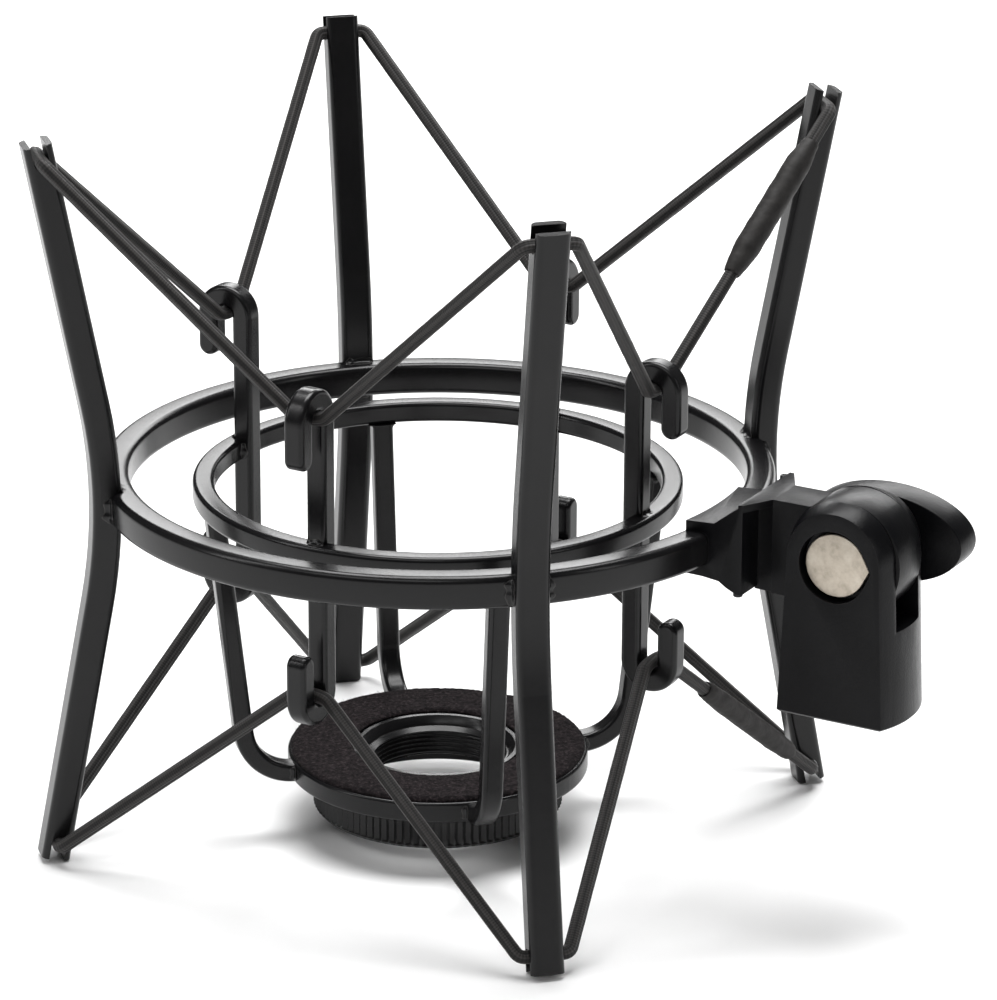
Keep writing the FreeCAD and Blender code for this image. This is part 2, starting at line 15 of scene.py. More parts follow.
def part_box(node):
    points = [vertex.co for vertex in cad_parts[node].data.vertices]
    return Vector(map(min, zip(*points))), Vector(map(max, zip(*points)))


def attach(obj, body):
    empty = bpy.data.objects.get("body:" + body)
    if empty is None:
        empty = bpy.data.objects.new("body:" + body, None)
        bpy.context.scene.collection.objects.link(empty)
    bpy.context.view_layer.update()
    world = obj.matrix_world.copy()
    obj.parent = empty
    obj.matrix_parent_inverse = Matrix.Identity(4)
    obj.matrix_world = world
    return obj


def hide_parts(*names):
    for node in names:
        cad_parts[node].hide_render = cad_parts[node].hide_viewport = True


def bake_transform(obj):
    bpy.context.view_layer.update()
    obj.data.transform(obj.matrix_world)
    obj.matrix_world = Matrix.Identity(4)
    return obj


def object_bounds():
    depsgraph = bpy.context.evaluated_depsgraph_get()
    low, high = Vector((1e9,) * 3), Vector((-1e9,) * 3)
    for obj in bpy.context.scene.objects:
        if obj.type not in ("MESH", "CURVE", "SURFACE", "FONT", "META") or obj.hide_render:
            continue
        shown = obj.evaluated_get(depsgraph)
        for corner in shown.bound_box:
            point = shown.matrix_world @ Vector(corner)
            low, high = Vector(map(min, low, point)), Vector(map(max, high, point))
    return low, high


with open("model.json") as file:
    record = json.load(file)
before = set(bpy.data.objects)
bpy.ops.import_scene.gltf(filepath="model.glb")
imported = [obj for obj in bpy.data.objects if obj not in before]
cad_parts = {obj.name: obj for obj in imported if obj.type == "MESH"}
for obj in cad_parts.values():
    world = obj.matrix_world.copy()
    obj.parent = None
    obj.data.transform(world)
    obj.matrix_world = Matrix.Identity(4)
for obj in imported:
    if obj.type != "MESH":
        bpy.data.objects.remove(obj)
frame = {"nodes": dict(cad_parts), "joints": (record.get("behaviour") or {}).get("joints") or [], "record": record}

MM = 0.001
NODES = frame["nodes"]
cad_lo, cad_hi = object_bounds()

# ---------------------------------------------------------------- sizes, metres
POST_ANGLES = (45, 135, 225, 315)
HOOK_ANGLES = (0, 90, 180, 270)
OUTER_RING_R = 0.070
INNER_RING_R = 0.051
RING_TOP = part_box("outer_ring")[1].z
RING_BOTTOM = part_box("outer_ring")[0].z
INNER_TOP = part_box("inner_ring")[1].z
INNER_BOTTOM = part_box("inner_ring")[0].z
PLATE_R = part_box("base_plate")[1].x
PLATE_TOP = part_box("base_plate")[1].z
PLATE_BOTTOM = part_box("base_plate")[0].z
FELT_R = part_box("felt_pad")[1].x
FELT_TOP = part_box("felt_pad")[1].z
FELT_HOLE_R = 0.0180
THREAD_R = 0.0135
THREAD_PITCH = 0.001
NECK_R = 0.0174
KNURL_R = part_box("thread_ring")[1].x
KNURL_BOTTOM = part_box("thread_ring")[0].z
KNURL_TOP = PLATE_BOTTOM - 0.0002
KNURL_RECESS_R = 0.0230
MOUNTS = {m["name"]: m for m in frame["record"]["mounts"]}
THREAD_MID = MOUNTS["mic_thread"]["pos_m"][2]
THREAD_LEN = MOUNTS["mic_thread"]["dims"]["length_mm"] * MM
STAND_R = MOUNTS["stand_thread"]["dims"]["r_mm"] * MM
PIVOT = Vector(next(j for j in frame["joints"] if j["name"] == "swivel_tilt")["pos_m"])
CORD_R = 0.0015
YARN_PITCH = 0.0011                        # braid repeat along the cord, and yarns round it
YARNS = 8
CORD_SIDES = 36
RIBS = 6                                   # lengthwise ridges that the rubber core leaves in the cover
SLOT_Z = {1: 0.1335, -1: -0.0135}          # cord height in the post slots, upper and lower loop
HOOK_Z = {1: 0.0869, -1: 0.0279}           # and in the hooks
HOOK_CORD_R = 0.0509                       # the cord's centreline at a hook, and half its stretch across it
HOOK_REACH = 0.00325
SLOT_CORD_R = 0.0823                       # the same at a post slot
SLOT_REACH = 0.0052
RIB_HIGH = 0.00006
CORD_UNEVEN = 0.00003
CORD_STEP = 0.0005
SLEEVE_SIDES = 28
SLEEVE_STEPS = 110
OUTER_BAR = 0.0060                         # thickness of each ring's bar, and the rounding of its corners
OUTER_BAR_ROUND = 0.0015
INNER_BAR = 0.0045
INNER_BAR_ROUND = 0.0010
POST_HALF = 0.0035                         # half the width of an outer post
WEAR_REACH = 0.00035                       # how far from an edge the finish is rubbed
WELD_STEP = 0.00035
HAIR_COUNT = 11000


# ================================================================== materials
def new_material(name, color, rough, metal=0.0, specular=0.5, sheen=0.0):
    """Principled material with constant values; detail is added by the callers."""
    mat = bpy.data.materials.new(name)
    mat.use_nodes = True
    tree = mat.node_tree
    shader = tree.nodes["Principled BSDF"]
    shader.inputs["Base Color"].default_value = (*color, 1)
    shader.inputs["Roughness"].default_value = rough
    shader.inputs["Metallic"].default_value = metal
    shader.inputs["Specular IOR Level"].default_value = specular
    shader.inputs["Sheen Weight"].default_value = sheen
    return mat, tree, shader


def link(tree, a, b):
    tree.links.new(a, b)


def position(tree):
    """Object-space position, which is the part's own frame."""
    return tree.nodes.new("ShaderNodeTexCoord").outputs["Object"]


def noise_node(tree, vector, scale, detail=3.0, rough=0.55):
    node = tree.nodes.new("ShaderNodeTexNoise")
    node.inputs["Scale"].default_value = scale
    node.inputs["Detail"].default_value = detail
    node.inputs["Roughness"].default_value = rough
    link(tree, vector, node.inputs["Vector"])
    return node.outputs["Fac"]


def ramp(tree, fac, stops):
    """Colour ramp from (position, colour) stops."""
    node = tree.nodes.new("ShaderNodeValToRGB")
    while len(node.color_ramp.elements) < len(stops):
        node.color_ramp.elements.new(0.5)
    for element, (place, color) in zip(node.color_ramp.elements, stops):
        element.position = place
        element.color = (*color, 1)
    link(tree, fac, node.inputs["Fac"])
    return node.outputs["Color"]


def spread(tree, fac, lo, hi):
    """Map 0-1 to lo-hi."""
    node = tree.nodes.new("ShaderNodeMapRange")
    node.inputs["To Min"].default_value = lo
    node.inputs["To Max"].default_value = hi
    link(tree, fac, node.inputs["Value"])
    return node.outputs["Result"]


def bump(tree, shader, height, strength, distance, below=None):
    node = tree.nodes.new("ShaderNodeBump")
    node.inputs["Strength"].default_value = strength
    node.inputs["Distance"].default_value = distance
    link(tree, height, node.inputs["Height"])
    if below is not None:
        link(tree, below, node.inputs["Normal"])
    link(tree, node.outputs["Normal"], shader.inputs["Normal"])
    return node.outputs["Normal"]


def edge_wear(tree, low, high):
    """0 on flat faces, 1 on sharp edges, broken up by noise.

    The measure is how far a bevel's rounded normal leaves the true one.
    """
    round_off = tree.nodes.new("ShaderNodeBevel")
    round_off.samples = 4
    round_off.inputs["Radius"].default_value = WEAR_REACH
    true_normal = tree.nodes.new("ShaderNodeNewGeometry").outputs["Normal"]
    match = tree.nodes.new("ShaderNodeVectorMath")
    match.operation = "DOT_PRODUCT"
    link(tree, round_off.outputs["Normal"], match.inputs[0])
    link(tree, true_normal, match.inputs[1])
    leave = tree.nodes.new("ShaderNodeMath")
    leave.operation = "SUBTRACT"
    leave.inputs[0].default_value = 1.0
    link(tree, match.outputs["Value"], leave.inputs[1])
    mix = tree.nodes.new("ShaderNodeMath")
    mix.operation = "MULTIPLY"
    link(tree, noise_node(tree, position(tree), 700, 5, 0.65), mix.inputs[0])
    link(tree, leave.outputs["Value"], mix.inputs[1])
    ranged = tree.nodes.new("ShaderNodeMapRange")
    ranged.inputs["From Min"].default_value = low
    ranged.inputs["From Max"].default_value = high
    link(tree, mix.outputs["Value"], ranged.inputs["Value"])
    return ranged.outputs["Result"]


def worn(tree, shader, base, low, high, color, rough_from, rough_to):
    """Blend a polished, slightly paler tone over convex edges."""
    wear = edge_wear(tree, low, high)
    mix = tree.nodes.new("ShaderNodeMix")
    mix.data_type = "RGBA"
    link(tree, wear, mix.inputs["Factor"])
    link(tree, base, mix.inputs["A"])
    mix.inputs["B"].default_value = (*color, 1)
    link(tree, mix.outputs["Result"], shader.inputs["Base Color"])
    smooth = tree.nodes.new("ShaderNodeMix")
    link(tree, wear, smooth.inputs["Factor"])
    link(tree, rough_from, smooth.inputs["A"])
    smooth.inputs["B"].default_value = rough_to
    link(tree, smooth.outputs["Result"], shader.inputs["Roughness"])


def coated_metal():
    """Black satin powder coat: fine orange peel, slightly cloudy tone, rubbed edges."""
    mat, tree, shader = new_material("black_coating", (0.005, 0.005, 0.0055), 0.26, specular=0.30)
    pos = position(tree)
    cloud = noise_node(tree, pos, 120, 5, 0.6)
    base = ramp(tree, cloud, [(0.3, (0.0034, 0.0034, 0.0039)), (0.7, (0.0066, 0.0064, 0.0068))])
    rough = spread(tree, noise_node(tree, pos, 900, 4), 0.22, 0.29)
    worn(tree, shader, base, 0.03, 0.14, (0.040, 0.038, 0.037), rough, 0.20)
    peel = bump(tree, shader, noise_node(tree, pos, 1500, 2), 0.05, 0.00008)
    bump(tree, shader, noise_node(tree, pos, 260, 2), 0.04, 0.0003, peel)
    return mat


def felt_material():
    """Brown-black felt: matted fibres, a few paler hairs."""
    mat, tree, shader = new_material("felt", (0.011, 0.009, 0.0095), 0.95, specular=0.04, sheen=0.03)
    shader.inputs["Sheen Roughness"].default_value = 0.6
    pos = position(tree)
    clump = noise_node(tree, pos, 1500, 6, 0.75)
    color = ramp(tree, clump, [(0.38, (0.0020, 0.0014, 0.0017)), (0.52, (0.0110, 0.0083, 0.0092)),
                               (0.68, (0.052, 0.041, 0.043))])
    link(tree, color, shader.inputs["Base Color"])
    fine = bump(tree, shader, noise_node(tree, pos, 3600, 4, 0.7), 0.8, 0.0002)
    bump(tree, shader, clump, 0.8, 0.0003, fine)
    return mat


def moulded_plastic():
    """Glass-filled black plastic: fine spark-eroded grain, satin, faint flow marks, rubbed edges."""
    mat, tree, shader = new_material("black_plastic", (0.005, 0.005, 0.0055), 0.32, specular=0.5)
    shader.inputs["IOR"].default_value = 1.24
    pos = position(tree)
    grain = noise_node(tree, pos, 2400, 3)
    rough = spread(tree, noise_node(tree, pos, 600, 4), 0.24, 0.40)
    color = ramp(tree, noise_node(tree, pos, 70, 4),
                 [(0.3, (0.0024, 0.0024, 0.0030)), (0.7, (0.0048, 0.0048, 0.0056))])
    worn(tree, shader, color, 0.03, 0.15, (0.024, 0.024, 0.025), rough, 0.24)
    flow = tree.nodes.new("ShaderNodeMapping")
    flow.inputs["Scale"].default_value = (1, 1, 0.18)
    link(tree, pos, flow.inputs["Vector"])
    fine = bump(tree, shader, grain, 0.28, 0.00012)
    bump(tree, shader, noise_node(tree, flow.outputs["Vector"], 420, 2), 0.10, 0.0003, fine)
    return mat


def elastic_material():
    """Braided elastic cover: fine dark yarns, nearly smooth, with a soft sheen, and painted shade in the braid's
    grooves and between its ribs.
    """
    mat, tree, shader = new_material("elastic", (0.02, 0.02, 0.02), 0.62, specular=0.30, sheen=0.10)
    uv = tree.nodes.new("ShaderNodeUVMap").outputs["UV"]
    parts = tree.nodes.new("ShaderNodeSeparateXYZ")
    link(tree, uv, parts.inputs["Vector"])

    def math_node(kind, *values):
        node = tree.nodes.new("ShaderNodeMath")
        node.operation = kind
        for socket, value in zip(node.inputs, values):
            if isinstance(value, float):
                socket.default_value = value
            else:
                link(tree, value, socket)
        return node.outputs["Value"]

    # the two yarn directions of the braid; U runs along the cord in metres, V round it from 0 to 1
    along = math_node("MULTIPLY", parts.outputs["X"], 2 * math.pi / YARN_PITCH)
    around = math_node("MULTIPLY", parts.outputs["Y"], 2 * math.pi * YARNS)
    one = math_node("SINE", math_node("ADD", along, around))
    two = math_node("SINE", math_node("SUBTRACT", along, around))
    weave = math_node("MULTIPLY", one, two)
    ribs = math_node("SINE", math_node("MULTIPLY", parts.outputs["Y"], 2 * math.pi * RIBS))
    woven = math_node("ADD", math_node("MULTIPLY", weave, 0.5), math_node("MULTIPLY", ribs, 0.5))
    height = math_node("MULTIPLY_ADD", woven, 0.5, 0.5)
    fuzz = noise_node(tree, position(tree), 2600, 4, 0.7)
    # the tone is darker where the weave and the ribs sink, which is painted shade in their grooves, with a random
    # fuzz of tone on top
    tone = math_node("ADD", math_node("MULTIPLY", height, 0.75), math_node("MULTIPLY", fuzz, 0.3))
    color = ramp(tree, tone, [(0.25, (0.0030, 0.0027, 0.0027)), (0.50, (0.0120, 0.0108, 0.0104)),
                              (0.80, (0.040, 0.0365, 0.035))])
    link(tree, color, shader.inputs["Base Color"])
    yarn = bump(tree, shader, height, 0.8, 0.00022)
    bump(tree, shader, fuzz, 0.35, 0.00010, yarn)
    return mat


def sleeve_material():
    """Heat-shrunk black tube, matte and slightly uneven."""
    mat, tree, shader = new_material("shrink_sleeve", (0.016, 0.0145, 0.0138), 0.6, specular=0.30)
    pos = position(tree)
    color = ramp(tree, noise_node(tree, pos, 500, 4),
                 [(0.3, (0.010, 0.009, 0.0085)), (0.7, (0.022, 0.020, 0.019))])
    link(tree, color, shader.inputs["Base Color"])
    link(tree, spread(tree, noise_node(tree, pos, 700, 3), 0.50, 0.70), shader.inputs["Roughness"])
    fine = bump(tree, shader, noise_node(tree, pos, 1600, 3), 0.35, 0.00012)
    bump(tree, shader, noise_node(tree, pos, 350, 2), 0.30, 0.0004, fine)
    return mat


def nickel_material():
    """Dull nickel plate: specks, stains and fine scratches."""
    mat, tree, shader = new_material("nickel", (0.62, 0.57, 0.49), 0.42, metal=1.0)
    pos = position(tree)
    stain = noise_node(tree, pos, 320, 6, 0.65)
    color = ramp(tree, stain, [(0.28, (0.37, 0.325, 0.265)), (0.5, (0.55, 0.49, 0.41)),
                               (0.72, (0.64, 0.585, 0.50))])
    link(tree, color, shader.inputs["Base Color"])
    link(tree, spread(tree, noise_node(tree, pos, 1100, 5, 0.7), 0.34, 0.60), shader.inputs["Roughness"])
    stretch = tree.nodes.new("ShaderNodeMapping")
    stretch.inputs["Scale"].default_value = (1, 1, 9)
    stretch.inputs["Rotation"].default_value = (0, 0.7, 0)
    link(tree, pos, stretch.inputs["Vector"])
    pits = bump(tree, shader, noise_node(tree, pos, 1500, 4), 0.35, 0.0001)
    bump(tree, shader, noise_node(tree, stretch.outputs["Vector"], 600, 3), 0.15, 0.00008, pits)
    return mat


def bare_metal(name, color, rough):
    """Plain metal with a brushed grain."""
    mat, tree, shader = new_material(name, color, rough, metal=1.0)
    pos = position(tree)
    stretch = tree.nodes.new("ShaderNodeMapping")
    stretch.inputs["Scale"].default_value = (1, 1, 12)
    link(tree, pos, stretch.inputs["Vector"])
    grain = noise_node(tree, stretch.outputs["Vector"], 700, 4)
    link(tree, spread(tree, grain, rough - 0.08, rough + 0.12), shader.inputs["Roughness"])
    dark = tuple(c * 0.75 for c in color)
    tone = ramp(tree, noise_node(tree, pos, 300, 3), [(0.3, dark), (0.7, color)])
    link(tree, tone, shader.inputs["Base Color"])
    bump(tree, shader, grain, 0.2, 0.00008)
    return mat


MATERIALS = {
    "black_coating": coated_metal(),
    "felt": felt_material(),
    "black_plastic": moulded_plastic(),
    "elastic": elastic_material(),
    "shrink_sleeve": sleeve_material(),
    "nickel": nickel_material(),
    "spring_steel": bare_metal("spring_steel", (0.10, 0.10, 0.105), 0.35),
    "zinc": bare_metal("zinc", (0.42, 0.42, 0.43), 0.38),
    "brass": bare_metal("brass", (0.62, 0.45, 0.20), 0.34),
}

node_slot = {s["node"]: s["material_slot"] for s in frame["record"]["subparts"]}
for node_name, obj in NODES.items():
    obj.data.materials.clear()
    obj.data.materials.append(MATERIALS[node_slot[node_name]])


# ==================================================================== helpers
def add_mesh(name, verts, faces, slot):
    """New smooth-shaded mesh object with one material slot's finish."""
    mesh = bpy.data.meshes.new(name)
    mesh.from_pydata([tuple(v) for v in verts], [], faces)
    mesh.validate()
    obj = bpy.data.objects.new(name, mesh)
    bpy.context.scene.collection.objects.link(obj)
    mesh.materials.append(MATERIALS[slot])
    mesh.polygons.foreach_set("use_smooth", [True] * len(mesh.polygons))
    return obj


def polar(radius, angle, z):
    a = math.radians(angle)
    return Vector((radius * math.cos(a), radius * math.sin(a), z))


def lathe(profile, count, close=False):
    """Vertices and faces of a profile of (radius, z) turned about Z; close joins its ends."""
    verts = []
    for i in range(count):
        a = 2 * math.pi * i / count
        for radius, z in profile:
            verts.append((radius * math.cos(a), radius * math.sin(a), z))
    rows = len(profile)
    faces = []
    for i in range(count):
        j = (i + 1) % count
        for k in range(rows if close else rows - 1):
            m = (k + 1) % rows
            faces.append((i * rows + k, j * rows + k, j * rows + m, i * rows + m))
    return verts, faces


def tube(path, radius_at, around):
    """Tube along points: vertices, faces and (u, v) of each vertex."""
    verts, faces, coords = [], [], []
    normal = None
    run = 0.0
    for i, point in enumerate(path):
        ahead = path[min(i + 1, len(path) - 1)] - path[max(i - 1, 0)]
        ahead.normalize()
        if i:
            run += (point - path[i - 1]).length
        if normal is None:
            normal = ahead.orthogonal().normalized()
        normal = (normal - ahead * normal.dot(ahead)).normalized()
        side = ahead.cross(normal)
        for k in range(around):
            a = 2 * math.pi * k / around
            offset = normal * math.cos(a) + side * math.sin(a)
            verts.append(point + offset * radius_at(run, a, point))
            coords.append((run, k / around))
    for i in range(len(path) - 1):
        for k in range(around):
            m = (k + 1) % around
            faces.append((i * around + k, i * around + m, (i + 1) * around + m, (i + 1) * around + k))
    last = len(path) - 1
    faces.append(tuple(reversed(range(around))))
    faces.append(tuple(last * around + k for k in range(around)))
    return verts, faces, coords


def set_uv(obj, coords):
    """UV map from each vertex's (run, turn), with the seam's turn kept at 1."""
    layer = obj.data.uv_layers.new(name="UVMap")
    for poly in obj.data.polygons:
        turns = [coords[obj.data.loops[i].vertex_index][1] for i in poly.loop_indices]
        wraps = len(turns) == 4 and max(turns) - min(turns) > 0.5
        for i, turn in zip(poly.loop_indices, turns):
            run = coords[obj.data.loops[i].vertex_index][0]
            layer.data[i].uv = (run, turn + 1 if wraps and turn < 0.5 else turn)


# ============================================================== elastic cords
def loop_points(end):
    """Centreline corners of a cord loop, the same route as the CAD cord's."""
    corners = []
    for quarter in range(4):
        for radius, angle, z, reach in ((HOOK_CORD_R, HOOK_ANGLES[quarter], HOOK_Z[end], HOOK_REACH),
                                        (SLOT_CORD_R, POST_ANGLES[quarter], SLOT_Z[end], SLOT_REACH)):
            across = polar(1, angle + 90, 0)
            middle = polar(radius, angle, z)
            corners.append(middle - across * reach)
            corners.append(middle + across * reach)
    return corners


def spline_points(control):
    """Points of the smooth curve that a NURBS spline makes of its control points."""
    data = bpy.data.curves.new("route", "CURVE")
    data.dimensions = "3D"
    data.resolution_u = 10
    spline = data.splines.new("NURBS")
    spline.points.add(len(control) - 1)
    for target, point in zip(spline.points, control):
        target.co = (*point, 1)
    spline.order_u = 3
    spline.use_endpoint_u = True
    holder = bpy.data.objects.new("route", data)
    bpy.context.scene.collection.objects.link(holder)
    bpy.context.view_layer.update()
    mesh = bpy.data.meshes.new_from_object(holder.evaluated_get(bpy.context.evaluated_depsgraph_get()))
    points = [v.co.copy() for v in mesh.vertices]
    bpy.data.objects.remove(holder)
    bpy.data.meshes.remove(mesh)
    return points


def even_steps(points, step):
    """The same line with points a fixed step apart."""
    out = [points[0].copy()]
    left = step
    for a, b in zip(points, points[1:]):
        length = (b - a).length
        while length >= left and length > 0:
            a = a.lerp(b, left / length)
            out.append(a.copy())
            length = (b - a).length
            left = step
        left -= length
    return out


def make_cord(end, name, sleeve_share):
    """Braided elastic loop, bent close round every slot and hook."""
    corners = loop_points(end)
    joint_at = sum(sleeve_share) / 2
    gap_share = 0.004                      # the cut ends stand this share of the span apart, in the sleeve
    post_side, hook_side = corners[2], corners[1]
    start = post_side.lerp(hook_side, joint_at)
    stop = post_side.lerp(hook_side, joint_at + gap_share)
    route = [start] + corners[2:] + corners[:2] + [stop]
    shoulder = 0.0028
    control = [route[0]]
    for before, here, after in zip(route, route[1:], route[2:]):
        if (here - before).length > 3 * shoulder:
            control.append(here + (before - here).normalized() * shoulder)
        control.append(here)
        if (after - here).length > 3 * shoulder:
            control.append(here + (after - here).normalized() * shoulder)
    control.append(route[-1])
    path = even_steps(spline_points(control), CORD_STEP)

    def radius(_run, a, point):
        ribs = RIB_HIGH * math.sin(RIBS * a)
        return CORD_R - (RIB_HIGH + CORD_UNEVEN) + ribs + CORD_UNEVEN * noise.noise(point * 260)

    verts, faces, coords = tube(path, radius, CORD_SIDES)
    obj = add_mesh(name, verts, faces, "elastic")
    set_uv(obj, coords)
    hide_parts(name.replace("braided_", ""))
    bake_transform(obj)


def make_sleeve(end, name, share, seed, fat):
    """Shrunk sleeve: fat over the joint, tight and a little wrinkled at its ends."""
    corners = loop_points(end)
    a = corners[2].lerp(corners[1], share[0])
    b = corners[2].lerp(corners[1], share[1])
    path = [a.lerp(b, i / SLEEVE_STEPS) for i in range(SLEEVE_STEPS + 1)]
    length = (b - a).length
    tight_r = 0.00182
    taper = 0.20                           # share of the length over which each end swells
    bore_r = CORD_R + 0.00006

    def radius(run, angle, _point):
        t = run / length
        swell = min(1.0, t / taper) * min(1.0, (1 - t) / taper)
        body = tight_r + fat * swell * swell * (3 - 2 * swell)
        # a small bead near each end, where the tube has gathered
        body += 0.00012 * math.exp(-((t - 0.94) / 0.04) ** 2) + 0.00010 * math.exp(-((t - 0.06) / 0.04) ** 2)
        key = Vector((math.cos(angle) * 0.9, math.sin(angle) * 0.9, run * 330 + seed * 7))
        body += 0.00011 * noise.noise(key) + 0.00005 * noise.noise(key * 3)
        lip = min(t, 1 - t) * length
        return body - 0.00016 * math.exp(-(lip / 0.0003) ** 2)

    outer, outer_faces, _ = tube(path, radius, SLEEVE_SIDES)
    outer_faces = outer_faces[:-2]         # without the two end caps
    bore = len(outer)                      # where the bore's vertices start
    verts = list(outer)
    for i, v in enumerate(outer):
        centre = path[i // SLEEVE_SIDES]
        verts.append(centre + (v - centre).normalized() * bore_r)
    faces = outer_faces + [tuple(bore + k for k in reversed(f)) for f in outer_faces]
    last = (len(path) - 1) * SLEEVE_SIDES
    for k in range(SLEEVE_SIDES):
        m = (k + 1) % SLEEVE_SIDES
        faces.append((k, bore + k, bore + m, m))
        faces.append((last + m, bore + last + m, bore + last + k, last + k))
    obj = add_mesh(name, verts, faces, "shrink_sleeve")
    obj.data.set_sharp_from_angle(angle=math.radians(50))
    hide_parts(name.replace("shrunk_", ""))
    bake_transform(obj)


UPPER_SLEEVE = (0.12, 0.60)
LOWER_SLEEVE = (0.16, 0.72)
make_cord(1, "braided_upper_elastic", UPPER_SLEEVE)
make_cord(-1, "braided_lower_elastic", LOWER_SLEEVE)
make_sleeve(1, "shrunk_upper_splice_sleeve", UPPER_SLEEVE, 1, 0.00088)
make_sleeve(-1, "shrunk_lower_splice_sleeve", LOWER_SLEEVE, 5, 0.00045)


# ================================================================ weld beads
def weld(name, body, a, b, way_1, way_2, leg, seed):
    """Concave weld bead in the corner along a-b, between two faces that leave it along way_1 and way_2."""
    steps = max(10, int((b - a).length / WELD_STEP))
    arc = 7
    verts, faces = [], []
    for i in range(steps + 1):
        t = i / steps
        base = a.lerp(b, t)
        ripple = 1 + 0.16 * math.sin(t * steps * 0.9 + seed)
        ripple += 0.25 * noise.noise(base * 900 + Vector((seed, 0, 0)))
        ends = min(1.0, 0.45 + 3.5 * min(t, 1 - t))
        size = leg * ripple * ends
        verts.append(base - (way_1 + way_2) * 0.0001)
        for k in range(arc + 1):
            s = k / arc
            # between the straight chord and the corner: a concave fillet
            chord = way_1 * (1 - s) + way_2 * s
            sag = 0.62 + 0.38 * (2 * s - 1) ** 2
            verts.append(base + chord * size * sag)
    row = arc + 2
    for i in range(steps):
        for k in range(row):
            m = (k + 1) % row
            faces.append((i * row + k, i * row + m, (i + 1) * row + m, (i + 1) * row + k))
    faces.append(tuple(range(row)))
    faces.append(tuple(steps * row + k for k in reversed(range(row))))
    obj = add_mesh(name, verts, faces, "black_coating")
    bm = bmesh.new()
    bm.from_mesh(obj.data)
    bmesh.ops.recalc_face_normals(bm, faces=bm.faces)
    bm.to_mesh(obj.data)
    bm.free()
    obj.data.set_sharp_from_angle(angle=math.radians(60))
    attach(obj, body)


def frame_welds():
    """Beads where the outer posts cross the outer ring."""
    radius = math.sqrt(OUTER_RING_R ** 2 - POST_HALF ** 2)
    inset = 0.0008                         # upright beads stop this short of the ring's flat faces
    post_inner_r = 0.0675
    flat_half = 0.0030                     # half the length of a bead on a flat face
    for number, angle in enumerate(POST_ANGLES, 1):
        out = polar(1, angle, 0)
        side = polar(1, angle + 90, 0)
        for sign, place in ((1, "right"), (-1, "left")):
            foot = out * radius + side * (sign * POST_HALF)
            a = foot + Vector((0, 0, RING_BOTTOM + inset))
            b = foot + Vector((0, 0, RING_TOP - inset))
            weld("frame_weld_%d_%s" % (number, place), "outer_frame",
                 a, b, out, side * sign, 0.0016, number + sign)
        for sign, place, z in ((1, "top", RING_TOP), (-1, "bottom", RING_BOTTOM)):
            edge = out * post_inner_r + Vector((0, 0, z))
            weld("frame_weld_%d_%s" % (number, place), "outer_frame", edge - side * flat_half,
                 edge + side * flat_half, -out, Vector((0, 0, sign)), 0.0012, number * 3 + sign)


def cage_welds():
    """Beads of the hook posts on the inner ring, and of the legs at both ends."""
    half = INNER_BAR / 2
    ring_inner = math.sqrt((INNER_RING_R - INNER_BAR) ** 2 - half ** 2)
    plate_outer = math.sqrt(PLATE_R ** 2 - half ** 2)
    hook_post_r = 0.0467
    leg_top_r = 0.0476
    hook_inset, hook_flat_half = 0.0006, 0.0019
    leg_inset, leg_flat_half = 0.0007, 0.0016
    for number, angle in enumerate(HOOK_ANGLES, 1):
        out = polar(1, angle, 0)
        side = polar(1, angle + 90, 0)
        for sign, place in ((1, "right"), (-1, "left")):
            foot = out * ring_inner + side * (sign * half)
            a = foot + Vector((0, 0, INNER_BOTTOM + hook_inset))
            b = foot + Vector((0, 0, INNER_TOP - hook_inset))
            weld("hook_weld_%d_%s" % (number, place), "cage",
                 a, b, -out, side * sign, 0.0011, number + sign)
        for sign, place, z in ((1, "top", INNER_TOP), (-1, "bottom", INNER_BOTTOM)):
            edge = out * (hook_post_r + half) + Vector((0, 0, z))
            weld("hook_weld_%d_%s" % (number, place), "cage", edge - side * hook_flat_half,
                 edge + side * hook_flat_half, out, Vector((0, 0, sign)), 0.0010, number * 5 + sign)
    for number, angle in enumerate(POST_ANGLES, 1):
        out = polar(1, angle, 0)
        side = polar(1, angle + 90, 0)
        for sign, place in ((1, "right"), (-1, "left")):
            edge = out * leg_top_r + side * (sign * half) + Vector((0, 0, INNER_BOTTOM))
            weld("leg_top_weld_%d_%s" % (number, place), "cage", edge - out * leg_flat_half,
                 edge + out * leg_flat_half, side * sign, Vector((0, 0, -1)), 0.0009, number + 7 * sign)
            foot = out * plate_outer + side * (sign * half)
            a = foot + Vector((0, 0, PLATE_BOTTOM + leg_inset))
            b = foot + Vector((0, 0, PLATE_TOP - leg_inset))
            weld("leg_foot_weld_%d_%s" % (number, place), "cage",
                 a, b, out, side * sign, 0.0011, number + 9 * sign)


frame_welds()
cage_welds()


# ================================================ thread ring, felt and insert
def threaded(radius, depth, pitch, z0, z1, columns, per_pitch, thread_axis=(0, 0)):
    """Inner wall with a real single-start thread cut into it, fading out at both ends."""
    rows = int(round((z1 - z0) / pitch * per_pitch))
    run_out = 0.7 * pitch
    verts = []
    for i in range(columns):
        a = 2 * math.pi * i / columns
        for k in range(rows + 1):
            z = z0 + (z1 - z0) * k / rows
            phase = (z / pitch - i / columns) % 1.0
            tooth = abs(2 * phase - 1)
            fade = min(1.0, (z - z0) / run_out, (z1 - z) / run_out)
            r = radius + depth * min(1.0, tooth * 1.15) * max(0.0, fade)
            verts.append((thread_axis[0] + r * math.cos(a), thread_axis[1] + r * math.sin(a), z))
    faces = []
    row = rows + 1
    for i in range(columns):
        j = (i + 1) % columns
        for k in range(rows):
            faces.append((i * row + k, i * row + k + 1, j * row + k + 1, j * row + k))
    return verts, faces


